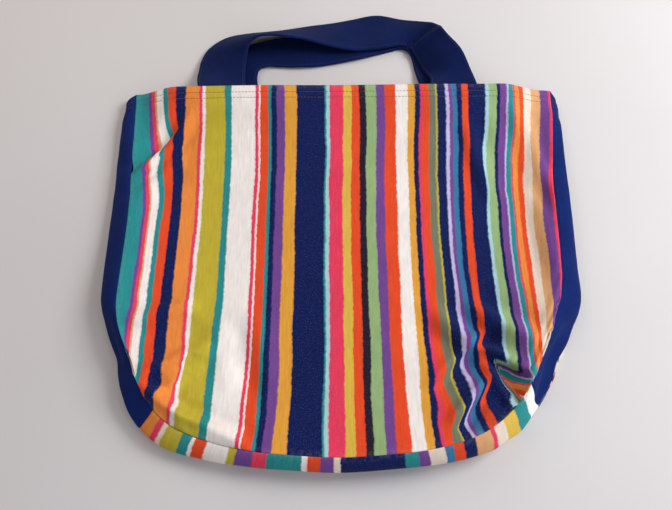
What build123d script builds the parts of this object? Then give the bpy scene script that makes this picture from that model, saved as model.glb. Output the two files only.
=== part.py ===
"""A fabric tote bag lying flat on its back: striped canvas panels, navy side gussets, a striped
base gusset, a hem turned in round the mouth, seam allowances inside, and two flat handles.

Millimetres. +Z is up from the surface that the bag lies on, +Y runs from the base to the mouth,
+X is across the bag. The origin is on that surface, under the middle of the whole bag's outline.
The bag bends across its middle and its handles swing, so the cloth is divided at those lines.
"""

import os
from math import atan2, cos, degrees, radians, sin, sqrt

from build123d import *

# ---- driving dimensions ----
panel_width = 402.0
panel_height = 361.0
corner_radius = 128.0  # the panel's lower corners
base_radius = 300.0  # the gentle curve of the panel's lower edge
cloth = 1.6  # canvas
bag_height = 26.0  # from the surface to the top of the front panel as the bag lies

fold_y = 170.0  # the line that the bag folds across, above the panel's lowest point
fold_gap = 0.5  # each half stops this far from that line

navy_share = 0.80  # how far round the corner the navy gusset reaches before the striped one

hem_depth = 16.0
allowance_width = 9.0
allowance_thickness = 1.4
allowance_gap = 0.1

strap_width = 50.0
strap_thickness = 2.4
front_spacing = 116.0  # from the bag's middle to the middle of each end of the front strap
back_spacing = 106.0
tab_length = 32.0  # the strap end that is sewn inside the hem
handle_reach = 98.0  # from the mouth to the handle's far edge
handle_corner = 54.0
grip_corner = 12.0
tab_reach = 1.6  # how far a sewn end stands out of the mouth
root_gap = 0.5  # between a sewn end and the loop that swings
stack_gap = 0.6  # between one handle's grip and the other's

# ---- places worked out from them ----
half_width = panel_width / 2
gusset_radius = bag_height / 2  # a gusset lies as a half tube between the two panels
corner_x = half_width - corner_radius
corner_y = base_radius - sqrt((base_radius - corner_radius) ** 2 - corner_x**2)
corner_angle = degrees(atan2(base_radius - corner_y, corner_x))
navy_angle = corner_angle * navy_share

top_inside = bag_height - cloth
front_strap_low = top_inside - cloth - strap_thickness
back_strap_low = 2 * cloth
loop_start = panel_height + tab_reach + root_gap

lowest_y = -gusset_radius
highest_y = panel_height + handle_reach
to_row_frame = Location((0, -(lowest_y + highest_y) / 2, 0))


def arc_point(centre, radius, angle):
    """A point on a circle, its angle in degrees below +X."""
    return (centre[0] + radius * cos(radians(angle)), centre[1] - radius * sin(radians(angle)))


def mirrored_point(point):
    return (-point[0], point[1])


def panel_face(inset=0.0):
    """The panel's outline with its sides and base moved inwards by inset."""
    corner = (corner_x, corner_y)
    radius = corner_radius - inset
    side = (half_width - inset, corner_y)
    middle = arc_point(corner, radius, corner_angle / 2)
    join = arc_point(corner, radius, corner_angle)
    mouth = (half_width - inset, panel_height)
    edges = [
        Line(mouth, side),
        ThreePointArc(side, middle, join),
        ThreePointArc(join, (0, inset), mirrored_point(join)),
        ThreePointArc(mirrored_point(join), mirrored_point(middle), mirrored_point(side)),
        Line(mirrored_point(side), mirrored_point(mouth)),
        Line(mirrored_point(mouth), mouth),
    ]
    return make_face(Wire(edges))


def slab(face, low, thickness):
    """A face on the XY plane as a solid that starts at z low."""
    return extrude(Pos(0, 0, low) * face, thickness)


def between(shape, low_y, high_y):
    """The part of a shape with y from low_y to high_y."""
    reach = 2 * panel_height
    return shape & Pos(0, (low_y + high_y) / 2, 0) * Box(reach, high_y - low_y, reach)


def lower_half(shape):
    return between(shape, -panel_height, fold_y - fold_gap)


def upper_half(shape, top=panel_height):
    return between(shape, fold_y + fold_gap, top)


def half_ring(outer, inner):
    """A gusset's section in the XZ plane, with its flat ends on x = 0 at the bag's mid height."""
    ring = Circle(outer) - Circle(inner)
    right_side = Pos(outer, 0) * Rectangle(2 * outer, 2 * outer)
    return Plane.XZ * Pos(0, gusset_radius) * (ring & right_side)


def straight_gusset(low_y, high_y, outer=gusset_radius):
    """The right-hand gusset beside the panel's straight edge."""
    section = Pos(half_width, high_y, 0) * half_ring(outer, outer - cloth)
    return extrude(section, high_y - low_y, dir=(0, -1, 0))


def turned_gusset(centre, radius, start, end):
    """The gusset round an arc of the panel's edge, between two angles below +X."""
    section = Pos(radius, 0, 0) * half_ring(gusset_radius, gusset_radius - cloth)
    turned = revolve(Rot(0, 0, -end) * section, Axis.Z, end - start)
    return Pos(*centre, 0) * turned


def on_both_sides(shape):
    return shape + mirror(shape, Plane.YZ)


def make_panels(parts):
    """The striped front and back panels, each divided at the fold."""
    for name, low in (("front_panel", top_inside), ("back_panel", 0.0)):
        panel = slab(panel_face(), low, cloth)
        parts[name + "_lower"] = lower_half(panel)
        parts[name + "_upper"] = upper_half(panel)


def make_gussets(parts):
    """The navy side gussets and the striped base gusset between them."""
    corner = (corner_x, corner_y)
    upper = straight_gusset(fold_y + fold_gap, panel_height)
    straight = straight_gusset(corner_y, fold_y - fold_gap)
    lower = straight + turned_gusset(corner, corner_radius, 0, navy_angle)
    end = turned_gusset(corner, corner_radius, navy_angle, corner_angle)
    middle = turned_gusset((0, base_radius), base_radius, corner_angle, 180 - corner_angle)
    parts["right_gusset_upper"] = upper
    parts["left_gusset_upper"] = mirror(upper, Plane.YZ)
    parts["right_gusset_lower"] = lower
    parts["left_gusset_lower"] = mirror(lower, Plane.YZ)
    parts["base_gusset"] = middle + on_both_sides(end)


def make_hems(parts):
    """The hem that is turned in round the mouth: a facing on each panel and each gusset."""
    face = Pos(0, panel_height - hem_depth / 2) * Rectangle(panel_width, hem_depth)
    parts["front_hem_facing"] = slab(face, top_inside - cloth, cloth)
    parts["back_hem_facing"] = slab(face, cloth, cloth)
    side = straight_gusset(panel_height - hem_depth, panel_height, gusset_radius - cloth)
    parts["right_hem_facing"] = side
    parts["left_hem_facing"] = mirror(side, Plane.YZ)


def make_allowances(parts):
    """The cloth edges that stand inside the bag beside each panel's long curved seam."""
    band = panel_face(allowance_gap) - panel_face(allowance_width)
    top = panel_height - hem_depth - allowance_gap
    front_low = top_inside - allowance_gap - allowance_thickness
    back_low = cloth + allowance_gap
    for name, low in (("front_seam_allowance", front_low), ("back_seam_allowance", back_low)):
        strip = slab(band, low, allowance_thickness)
        parts[name + "_lower"] = lower_half(strip)
        parts[name + "_upper"] = upper_half(strip, top)


def loop_face(spacing):
    """A handle's outline from above, outside the mouth: two legs and the grip across them."""
    outer_x = spacing + strap_width / 2
    inner_x = spacing - strap_width / 2
    inner_y = highest_y - strap_width
    start = Pos(0, loop_start)
    outside = start * Pos(0, (highest_y - loop_start) / 2) * Rectangle(
        2 * outer_x, highest_y - loop_start
    )
    inside = start * Pos(0, (inner_y - loop_start) / 2) * Rectangle(
        2 * inner_x, inner_y - loop_start
    )
    outside = fillet(outside.vertices().sort_by(Axis.Y)[-2:], handle_corner)
    inside = fillet(inside.vertices().sort_by(Axis.Y)[-2:], grip_corner)
    return outside - inside


def sloping(face, low, drop):
    """A strap's flat loop that starts at z low outside the mouth and drops towards its grip."""
    angle = degrees(atan2(drop, highest_y - loop_start))
    flat = Pos(0, -loop_start, 0) * slab(face, 0, strap_thickness)
    return Pos(0, loop_start, low) * Rot(-angle, 0, 0) * flat


def tab_pair(spacing, low):
    """The two ends of a strap that are sewn inside the hem."""
    length = tab_length + tab_reach
    middle_y = panel_height + tab_reach - length / 2
    face = Pos(spacing, middle_y) * Rectangle(strap_width, length)
    return on_both_sides(slab(face, low, strap_thickness))


def make_handles(parts):
    """Both handles. Each drops from the mouth to the surface, the front one on top."""
    front_drop = front_strap_low - strap_thickness - stack_gap
    parts["front_handle"] = sloping(loop_face(front_spacing), front_strap_low, front_drop)
    parts["back_handle"] = sloping(loop_face(back_spacing), back_strap_low, back_strap_low)
    parts["front_handle_ends"] = tab_pair(front_spacing, front_strap_low)
    parts["back_handle_ends"] = tab_pair(back_spacing, back_strap_low)


parts = {}
make_panels(parts)
make_gussets(parts)
make_hems(parts)
make_allowances(parts)
make_handles(parts)

os.makedirs("parts", exist_ok=True)
for name, shape in parts.items():
    export_step(to_row_frame * shape, f"parts/{name}.step")
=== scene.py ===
"""The looks of a striped canvas tote bag that lies flat on its back. Metres, in the CAD frame."""

from math import atan2, cos, pi, radians, sin, sqrt

import bpy
import numpy as np
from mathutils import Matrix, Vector


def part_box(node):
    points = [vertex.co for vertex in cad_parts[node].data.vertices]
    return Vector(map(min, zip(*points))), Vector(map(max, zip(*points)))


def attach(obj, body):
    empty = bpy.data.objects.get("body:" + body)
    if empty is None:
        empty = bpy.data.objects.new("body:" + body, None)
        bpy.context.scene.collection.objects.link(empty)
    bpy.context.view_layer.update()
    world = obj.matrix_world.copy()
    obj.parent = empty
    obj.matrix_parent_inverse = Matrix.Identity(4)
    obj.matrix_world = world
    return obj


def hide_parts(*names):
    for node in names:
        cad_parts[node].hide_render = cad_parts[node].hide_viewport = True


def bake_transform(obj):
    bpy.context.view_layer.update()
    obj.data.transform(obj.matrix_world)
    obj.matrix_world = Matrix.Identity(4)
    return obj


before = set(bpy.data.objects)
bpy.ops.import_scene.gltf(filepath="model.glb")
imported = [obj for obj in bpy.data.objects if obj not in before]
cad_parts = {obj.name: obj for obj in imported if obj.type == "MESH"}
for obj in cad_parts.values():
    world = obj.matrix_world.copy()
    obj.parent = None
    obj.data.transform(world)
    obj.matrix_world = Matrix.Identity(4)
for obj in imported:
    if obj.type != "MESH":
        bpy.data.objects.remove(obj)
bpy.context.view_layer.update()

# ---- the cut pieces of cloth, which are the sizes that the CAD model is made to ----
panel_low, panel_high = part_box("front_panel_lower")[0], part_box("front_panel_upper")[1]
BASE_Y = panel_low[1]
HEM_Y = panel_high[1]
HALF_WIDTH = panel_high[0]
PANEL_HEIGHT = HEM_Y - BASE_Y
CORNER_RADIUS = 0.128
BASE_RADIUS = 0.300
GUSSET_DEPTH = 0.040
NAVY_SHARE = 0.80
CLOTH = 0.0012
BACK_HEIGHT = 0.0015  # the back panel, above the surface
MOUTH_LIFT = 0.012  # how far the handles hold the front panel up at the mouth
MOUTH_REACH = 0.003  # and how far the hem runs out there, past the line between its ends
MOUTH_DROOP = (0.6, 0.3)  # how far the gusset's mouth leans to the base, at the left and right
MOUTH_DROOP_DEPTH = 0.05  # and how far down from the mouth
HEM_DEPTH = 0.016
STITCH_ROWS = (0.0080, 0.0145)  # the hem's two rows of stitches, down from the mouth

ACROSS = 66  # panel squares from side to side
DOWN = 52  # and from hem to base, along the side
DEEP = 7  # gusset squares from the front seam to the back one

CORNER_X = HALF_WIDTH - CORNER_RADIUS
CORNER_Y = BASE_RADIUS - sqrt((BASE_RADIUS - CORNER_RADIUS) ** 2 - CORNER_X**2)
CORNER_ANGLE = atan2(BASE_RADIUS - CORNER_Y, CORNER_X)
SIDE_LENGTH = PANEL_HEIGHT - CORNER_Y
CORNER_LENGTH = CORNER_RADIUS * CORNER_ANGLE
BASE_LENGTH = BASE_RADIUS * (pi - 2 * CORNER_ANGLE)
SEAM_LENGTH = 2 * (SIDE_LENGTH + CORNER_LENGTH) + BASE_LENGTH
TURN = SIDE_LENGTH + CORNER_LENGTH / 2  # along the seam, the middle of the rounded corner
NAVY_END = SIDE_LENGTH + CORNER_LENGTH * NAVY_SHARE  # where navy meets striped gusset
MILLIMETRES = 1000  # in a metre


def seam_point(s):
    """The panel's edge at s along it, from the left end of the hem round the base to the right end."""
    if s > SEAM_LENGTH / 2:
        x, y = seam_point(SEAM_LENGTH - s)
        return -x, y
    if s <= SIDE_LENGTH:
        return -HALF_WIDTH, PANEL_HEIGHT - s
    if s <= SIDE_LENGTH + CORNER_LENGTH:
        a = (s - SIDE_LENGTH) / CORNER_RADIUS
        return -CORNER_X - CORNER_RADIUS * cos(a), CORNER_Y - CORNER_RADIUS * sin(a)
    a = CORNER_ANGLE + (s - SIDE_LENGTH - CORNER_LENGTH) / BASE_RADIUS
    return -BASE_RADIUS * cos(a), BASE_RADIUS - BASE_RADIUS * sin(a)


def seam_stations():
    """Evenly spaced distances along the seam for the left side, the base and the right side."""
    left = [TURN * j / DOWN for j in range(DOWN + 1)]
    base = [TURN + (SEAM_LENGTH - 2 * TURN) * i / ACROSS for i in range(1, ACROSS)]
    right = [SEAM_LENGTH - s for s in reversed(left)]
    return left + base + right


def coons(edge):
    """A grid of points inside an edge: edge holds the seam's points in order, and the hem is straight
    between its ends."""
    edge = np.array(edge, float)
    left = edge[: DOWN + 1]
    base = edge[DOWN : DOWN + ACROSS + 1]
    right = edge[DOWN + ACROSS :][::-1]
    u = np.linspace(0, 1, ACROSS + 1)[:, None, None]
    v = np.linspace(0, 1, DOWN + 1)[None, :, None]
    hem = left[0] + (right[0] - left[0]) * u
    sides = (1 - u) * left[None] + u * right[None]
    ends = (1 - v) * hem + v * base[:, None]
    corners = (1 - u) * (1 - v) * left[0] + u * (1 - v) * right[0]
    corners = corners + (1 - u) * v * left[-1] + u * v * right[-1]
    return sides + ends - corners


def smooth(t):
    t = np.clip(t, 0, 1)
    return t * t * (3 - 2 * t)


def smooth_through(points, count):
    """Points along a smooth curve through the given ones."""
    points = np.asarray(points, float)
    padded = np.concatenate([2 * points[:1] - points[1:2], points, 2 * points[-1:] - points[-2:-1]])
    place = np.linspace(0, len(points) - 1.000001, count)
    k = place.astype(int)
    t = (place - k)[:, None]
    a, b, c, d = padded[k], padded[k + 1], padded[k + 2], padded[k + 3]
    return 0.5 * (2 * b + (c - a) * t + (2 * a - 5 * b + 4 * c - d) * t**2 + (3 * b - a - 3 * c + d) * t**3)


# Where the front seam lies once the bag has settled, from the hem to the middle of the base, in
# millimetres: x, y from the base of the cut, and height.
LEFT_SEAM = (
    (-209, 358, 9), (-206, 331, 13), (-196, 229, 21), (-191, 143, 24), (-188, 115, 26),
    (-178, 84, 27), (-166, 57, 26), (-151, 37, 24), (-136, 24, 23), (-120, 16, 23), (-101, 10, 24),
    (-83, 5, 26), (-60, 1, 27), (-37, -1, 28), (1, -3, 27),
)
RIGHT_SEAM = (
    (221, 362, 13), (218, 331, 15), (209, 280, 18), (202, 229, 21), (196, 150, 24), (191, 125, 26),
    (179, 93, 29), (165, 67, 31), (149, 46, 32), (132, 29, 32), (117, 17, 32), (98, 9, 31),
    (78, 4, 29), (50, 0, 28), (1, -3, 27),
)

# Where the navy gusset ends on the settled front seam at the right, and how far the back seam lies
# outside the front one, in millimetres: at places along the seam from its left end.
RIGHT_JOINT = (0.150, 0.053)
BACK_SEAM_OUT = (
    (0, -2), (132, 5.6), (218, 9), (246, 9), (282, 12), (310, 10), (340, 4), (390, -6), (430, -9),
    (536, -9), (568, -6), (591, -1), (614, 6), (636, 15), (656, 17), (680, 19), (711, 18),
    (749, 13), (775, 6), (854, -1.5), (986, -13),
)


def length_along(line):
    return np.concatenate([[0], np.cumsum(np.linalg.norm(np.diff(line, axis=0), axis=1))])


def columns_at(places, known, values):
    """Each column of values, read at places between the known ones."""
    return np.stack([np.interp(places, known, values[:, c]) for c in range(values.shape[1])], -1)


def evened(values, reach, **ends):
    """A row of numbers averaged with those up to reach places away. ends says how it goes on."""
    kernel = np.hanning(2 * reach + 1)
    return np.convolve(np.pad(values, reach, **ends), kernel / kernel.sum(), "valid")


def seam_line(stations):
    """The settled front seam at each distance along it, on a smooth line."""
    points = np.array(LEFT_SEAM + RIGHT_SEAM[-2::-1]) / MILLIMETRES
    line = smooth_through(points, 1200)
    line = np.stack([evened(column, 30, mode="reflect", reflect_type="odd") for column in line.T], -1)
    along = length_along(line)
    joint = along[np.argmin(np.linalg.norm(line[:, :2] - RIGHT_JOINT, axis=1))]
    where = np.interp(stations, [0, SEAM_LENGTH - NAVY_END, SEAM_LENGTH], [0, joint, along[-1]])
    return columns_at(where, along, line)


def back_seam_line(stations):
    """The back seam lies flat, inside the front one or outside it."""
    line = seam_line(stations)
    way = np.gradient(line[:, :2], axis=0)
    way /= np.linalg.norm(way, axis=1, keepdims=True)
    known = np.array(BACK_SEAM_OUT) / MILLIMETRES
    out = evened(np.interp(stations, known[:, 0], known[:, 1]), 7, mode="edge")
    place = line[:, :2] + np.stack([way[:, 1], -way[:, 0]], -1) * out[:, None]
    return np.concatenate([place, np.full((len(place), 1), BACK_HEIGHT)], 1)


def give(x, y):
    """How far the settled cloth has given up its excess to pleats, from 0 to 1, at a place on the cut.
    The lower corners are drawn in, the right one most."""
    right = smooth((x - 0.02) / 0.08) * smooth((0.24 - y) / 0.10)
    left = smooth((-x - 0.04) / 0.08) * smooth((0.17 - y) / 0.08)
    return np.maximum(right, left)


def bulge_to_length(chord, length):
    """How far an arch on that chord stands out when its cloth has that length."""
    if chord >= length:
        return 0.0
    low, high = 0.0, length
    t = np.linspace(0, pi, 33)
    for _ in range(24):
        middle = (low + high) / 2
        step = np.hypot(chord * np.diff(t) / pi, middle * np.diff(np.sin(t)))
        if step.sum() < length:
            low = middle
        else:
            high = middle
    return low


def gusset_arch(a, b, way, droop):
    """The gusset's points between the front seam at a and the back seam at b: an arch of its full depth
    that bulges outwards, which is to the left of way."""
    out = np.array([-way[1], way[0], 0.0])
    out = out / np.linalg.norm(out)
    out = out + [0.0, -droop, 0.0]
    out = out / np.linalg.norm(out)
    bulge = bulge_to_length(np.linalg.norm(b - a), GUSSET_DEPTH)
    shares = [d / DEEP for d in range(1, DEEP)]
    return [(t, a + (b - a) * t + out * bulge * sin(pi * t)) for t in shares]


def seam_edge(grid):
    """A panel grid's edge along the seam: down its left side, along the base and up its right side."""
    return list(grid[0]) + list(grid[1:-1, -1]) + list(grid[-1][::-1])


def bag_mesh():
    """The sewn bag as one mesh: its cut shape, its start shape, the grids of its panels and its gusset
    as vertex numbers, the panel's flat cut and the places along the seam."""
    stations = seam_stations()
    edge = np.array([seam_point(s) for s in stations])
    flat = coons(edge)
    front_start = coons(seam_line(stations))
    back_start = coons(back_seam_line(stations))
    share = give(flat[..., 0], flat[..., 1])[..., None]
    front_flat = flat + (front_start[..., :2] - flat) * share
    back_flat = flat + (back_start[..., :2] - flat) * share
    rest, start = [], []

    def add(cut, place):
        rest.append(cut)
        start.append(place)
        return len(rest) - 1

    front = np.zeros(flat.shape[:2], int)
    back = np.zeros(flat.shape[:2], int)
    for i, j in np.ndindex(front.shape):
        x, y = front_start[i, j, :2]
        relief = front_relief(x, y)
        reach = MOUTH_REACH * mouth_share(x, y)
        lift = GUSSET_DEPTH + relief * share[i, j, 0]
        front[i, j] = add((*front_flat[i, j], lift), front_start[i, j] + [0, reach, relief])
        back[i, j] = add((*back_flat[i, j], 0.0), back_start[i, j])
    count = len(stations)
    strip = np.zeros((count, DEEP + 1), int)
    strip[:, 0] = seam_edge(front)
    strip[:, -1] = seam_edge(back)
    for k, (f, b) in enumerate(strip[:, [0, -1]]):
        way = edge[max(k - 1, 0)] - edge[min(k + 1, count - 1)]
        lean = MOUTH_DROOP[0 if k < count / 2 else 1]
        droop = lean * smooth(1 - (PANEL_HEIGHT - edge[k][1]) / MOUTH_DROOP_DEPTH)
        arch = gusset_arch(np.array(start[f]), np.array(start[b]), way, droop)
        for d, (t, place) in enumerate(arch, 1):
            strip[k, d] = add(np.array(rest[f]) * (1 - t) + np.array(rest[b]) * t, place)
    return np.array(rest), np.array(start), front, back, strip, flat, stations


def wave(along, width):
    """The section of a soft wrinkle: a ridge with a shallow hollow on each side."""
    t = along / width
    return (1 - t * t) * np.exp(-t * t / 2)


def beside_line(x, y, start, end):
    """Where a place lies by the line from start to end: its share along the line, how far it is to the
    line's left, and the line's direction."""
    a, b = np.array(start), np.array(end)
    length = np.linalg.norm(b - a)
    way = (b - a) / length
    dx, dy = x - a[0], y - a[1]
    return (dx * way[0] + dy * way[1]) / length, -dx * way[1] + dy * way[0], way


def wrinkle(x, y, start, end, width, height):
    """A ridge along the line from start to end on the cloth, fading out at both ends."""
    share, left, _ = beside_line(x, y, start, end)
    return height * wave(left, width) * (smooth(share / 0.25) * smooth((1 - share) / 0.25))


def mouth_share(x, y):
    """How far the front panel is held up between its seams at the mouth, from 0 to 1."""
    return smooth((0.214 - abs(x)) / 0.050) * smooth((y - 0.20) / 0.14)


# The soft folds that the front panel starts with, where it lies: start, end, width and height.
START_FOLDS = (
    ((-0.140, 0.335), (-0.201, 0.250), 0.007, 0.0050),
    ((-0.150, 0.300), (-0.195, 0.215), 0.008, 0.0035),
    ((0.125, 0.330), (0.155, 0.225), 0.009, 0.0035),
    ((0.175, 0.350), (0.198, 0.235), 0.009, 0.0040),
    ((0.186, 0.290), (0.190, 0.130), 0.009, 0.0035),
    ((0.075, 0.130), (0.132, 0.072), 0.010, 0.0050),
    ((0.146, 0.075), (0.126, 0.026), 0.010, -0.0070),
    ((0.105, 0.130), (0.172, 0.085), 0.010, 0.0050),
    ((-0.100, 0.095), (-0.170, 0.055), 0.009, 0.0065),
    ((-0.120, 0.130), (-0.184, 0.105), 0.009, 0.0040),
    ((-0.090, 0.125), (-0.070, 0.040), 0.012, -0.0050),
    ((-0.166, 0.062), (-0.116, 0.020), 0.006, 0.0050),
    ((-0.136, 0.034), (-0.062, 0.005), 0.006, 0.0050),
)


def front_relief(x, y):
    """How much higher than its seams the front panel starts. x and y are where it lies."""
    z = 0.0015 * sin(23 * x + 11 * y) * sin(17 * y - 9 * x + 1)
    for fold in START_FOLDS:
        z += wrinkle(x, y, *fold)
    return z + MOUTH_LIFT * mouth_share(x, y)


# The sharp tucks of the front panel, where it lies: start and end, how far the cloth stands up on the
# left side of that line, how wide the crease is, and how much cloth is hidden in it.
TUCKS = (
    ((-0.150, 0.322), (-0.203, 0.246), 0.0036, 0.0050, 0.0095),
    ((0.128, 0.320), (0.150, 0.225), -0.0014, 0.0060, 0.0025),
    ((0.184, 0.348), (0.200, 0.205), 0.0022, 0.0060, 0.0030),
    ((0.140, 0.114), (0.070, 0.048), -0.0026, 0.0050, 0.0065),
    ((0.130, 0.064), (0.086, 0.016), -0.0040, 0.0050, 0.0160),
    ((0.116, 0.087), (0.158, 0.056), 0.0040, 0.0042, 0.0),
    ((0.123, 0.080), (0.142, 0.030), -0.0036, 0.0042, 0.0),
    ((-0.112, 0.082), (-0.160, 0.046), 0.0028, 0.0050, 0.0045),
    ((-0.122, 0.096), (-0.139, 0.040), -0.0014, 0.0055, 0.0030),
)
# The pocket that the tucks of the lower right corner leave, where the cloth is turned so that its stripes
# run across: the corner between its two creases, their slopes, and the first stripe that shows in it.
POCKET_CORNER = (0.125, 0.081)
POCKET_TOP_SLOPE = -0.74
POCKET_SIDE_SLOPE = -0.38
POCKET_STRIPE = 0.151


CREASE_PEAK = 1.65  # brings the highest part of a crease's section to 1


def crease(off):
    """The section of a crease, up on one side of it and down on the other."""
    return CREASE_PEAK * off * np.exp(-off * off / 2)


def turn_pocket(x, y, cut):
    """The cut with the pocket's cloth turned a quarter round."""
    below = POCKET_CORNER[1] + POCKET_TOP_SLOPE * (x - POCKET_CORNER[0]) - y
    beside = x - POCKET_CORNER[0] - POCKET_SIDE_SLOPE * (y - POCKET_CORNER[1])
    weight = smooth(below / 0.003) * smooth(beside / 0.003) * smooth((0.034 - below) / 0.005)
    turned = cut.copy()
    turned[..., 0] = POCKET_STRIPE + 0.95 * below
    return cut + (turned - cut) * weight[..., None]


def tuck(pos, normal, cut):
    """The front panel's points and cut with its tucks: beside each crease the cloth stands up on one side
    and dips on the other, and some of it is hidden."""
    x, y = pos[..., 0], pos[..., 1] - BASE_Y
    pos, cut = pos.copy(), turn_pocket(x, y, cut)
    for start, end, height, width, hidden in TUCKS:
        share, left, way = beside_line(x, y, start, end)
        off = left / width
        fade = smooth(share / 0.3) * smooth((1 - share) / 0.25)
        rise = crease(off) * height * fade
        pos += normal * rise[..., None]
        near = np.exp(-((off / 5) ** 2)) * fade * hidden * (smooth(off + 0.5) - 0.5)
        cut += np.array([-way[1], way[0]]) * near[..., None]
    return pos, cut


def grid_faces(grid, flip):
    faces = []
    for i in range(grid.shape[0] - 1):
        for j in range(grid.shape[1] - 1):
            f = [grid[i, j], grid[i + 1, j], grid[i + 1, j + 1], grid[i, j + 1]]
            faces.append([int(v) for v in (f[::-1] if flip else f)])
    return faces


def flat_square(name, reach):
    """A square on the surface, reach metres from its middle to each side."""
    corners = [(-reach, -reach, 0), (reach, -reach, 0), (reach, reach, 0), (-reach, reach, 0)]
    mesh = bpy.data.meshes.new(name)
    mesh.from_pydata(corners, [], [(0, 1, 2, 3)])
    obj = bpy.data.objects.new(name, mesh)
    bpy.context.collection.objects.link(obj)
    return obj


def floor_for_cloth():
    obj = flat_square("cloth_floor", 0.6)
    obj.modifiers.new("Collision", "COLLISION")
    obj.collision.thickness_outer = 0.001
    obj.collision.cloth_friction = 30
    return obj


def cloth_object(rest, start, faces, pins):
    """The bag as a mesh at its start shape, with its cut shape as a shape key and its pins as weights."""
    mesh = bpy.data.meshes.new("bag_cloth")
    mesh.from_pydata([tuple(p) for p in start + [0, BASE_Y, 0]], [], faces)
    obj = bpy.data.objects.new("bag_cloth", mesh)
    bpy.context.collection.objects.link(obj)
    obj.shape_key_add(name="Basis")
    key = obj.shape_key_add(name="cut")
    key.data.foreach_set("co", (rest + [0, BASE_Y, 0]).astype(np.float32).ravel())
    key.value = 0
    group = obj.vertex_groups.new(name="pins")
    for v, w in pins.items():
        group.add([int(v)], w, "REPLACE")
    return obj


CANVAS = {
    "quality": 7,
    "mass": 0.25,
    "tension_stiffness": 30,
    "compression_stiffness": 30,
    "shear_stiffness": 12,
    "bending_stiffness": 14,
    "tension_damping": 12,
    "compression_damping": 12,
    "shear_damping": 8,
    "bending_damping": 2.0,
    "air_damping": 3,
    "vertex_group_mass": "pins",
    "pin_stiffness": 0.6,
}
CANVAS_TOUCH = {
    "use_self_collision": True,
    "self_distance_min": 0.0018,
    "self_friction": 8,
    "distance_min": 0.0012,
    "collision_quality": 3,
}


def set_all(target, values):
    for name, value in values.items():
        setattr(target, name, value)


def simulate(rest, start, faces, pins, frames):
    """The sewn bag settles from its start shape under its own weight. Returns its points."""
    obj = cloth_object(rest, start, faces, pins)
    cloth = obj.modifiers.new("Cloth", "CLOTH")
    cloth.settings.rest_shape_key = obj.data.shape_keys.key_blocks["cut"]
    set_all(cloth.settings, CANVAS)
    set_all(cloth.collision_settings, CANVAS_TOUCH)
    cloth.point_cache.frame_start = 1
    cloth.point_cache.frame_end = frames
    scene = bpy.context.scene
    for f in range(1, frames + 1):
        scene.frame_set(f)
    dg = bpy.context.evaluated_depsgraph_get()
    done = obj.evaluated_get(dg).to_mesh()
    co = np.zeros(len(done.vertices) * 3, np.float32)
    done.vertices.foreach_get("co", co)
    bpy.data.objects.remove(obj)
    scene.frame_set(1)
    return co.reshape(-1, 3).astype(float)


# How firmly the settling cloth is held to its start shape, from 0 to 1.
HOLD_GUSSET = 0.3
HOLD_BACK_SEAM = 0.7
HOLD_FRONT_SEAM = 0.85
HOLD_HEM = 0.6
HEM_ROWS = 3
HOLD_HANDLE_END = 0.5  # at the mouth, and less in each row below it
HANDLE_ROWS = 6
HANDLE_END_X = 0.117
HANDLE_END_REACH = 0.032


def seam_pins(front, strip):
    """Gentle holds: the seams keep near their start shape, and the hem and the handles' ends hold the
    mouth up."""
    pins = {int(v): HOLD_GUSSET for v in strip[:, 1:-1].ravel()}
    pins.update({int(v): HOLD_BACK_SEAM for v in strip[:, -1]})
    pins.update({int(v): HOLD_FRONT_SEAM for v in strip[:, 0]})
    for i in range(1, front.shape[0] - 1):
        pins.update({int(v): HOLD_HEM for v in front[i, :HEM_ROWS]})
        from_middle = abs(i / ACROSS - 0.5) * 2 * HALF_WIDTH
        if abs(from_middle - HANDLE_END_X) < HANDLE_END_REACH:
            pins.update({int(v): HOLD_HANDLE_END - 0.05 * j for j, v in enumerate(front[i, :HANDLE_ROWS])})
    return pins


def calm(points, start, faces, passes=4):
    """The settled points without their smallest crumples: how far each has moved from its start is
    evened out with its neighbours."""
    quads = np.array(faces)
    pairs = np.concatenate([quads[:, [k, (k + 1) % 4]] for k in range(4)])
    moved = points - start
    count = np.zeros(len(points))
    np.add.at(count, pairs.ravel(), 1)
    for _ in range(passes):
        total = np.zeros_like(moved)
        np.add.at(total, pairs[:, 0], moved[pairs[:, 1]])
        np.add.at(total, pairs[:, 1], moved[pairs[:, 0]])
        moved = (moved + total / count[:, None]) / 2
    return start + moved


# ---- grids of points, which every piece is made from ----
def finer(a, axis):
    """A grid with a point added between each pair along one axis, on a smooth curve through them."""
    a = np.moveaxis(a, axis, 0)
    before = np.concatenate([2 * a[:1] - a[1:2], a[:-2]])
    after = np.concatenate([a[2:], 2 * a[-1:] - a[-2:-1]])
    middle = (9 * (a[:-1] + a[1:]) - before - after) / 16
    out = np.empty((2 * len(a) - 1,) + a.shape[1:])
    out[0::2] = a
    out[1::2] = middle
    return np.moveaxis(out, 0, axis)


def finer_both(a):
    return finer(finer(a, 0), 1)


def unit(v):
    return v / np.maximum(np.linalg.norm(v, axis=-1, keepdims=True), 1e-12)


def grid_normals(pos):
    """The normal at each point of a grid, from the first axis crossed with the second."""
    return unit(np.cross(np.gradient(pos, axis=0), np.gradient(pos, axis=1)))


def sample(a, s, t):
    """A grid's value at fractional places s and t along its axes."""
    s = np.clip(s, 0, a.shape[0] - 1.000001)
    t = np.clip(t, 0, a.shape[1] - 1.000001)
    i, j = s.astype(int), t.astype(int)
    fs, ft = (s - i)[..., None], (t - j)[..., None]
    near = a[i, j] * (1 - ft) + a[i, j + 1] * ft
    far = a[i + 1, j] * (1 - ft) + a[i + 1, j + 1] * ft
    return near * (1 - fs) + far * fs


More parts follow.
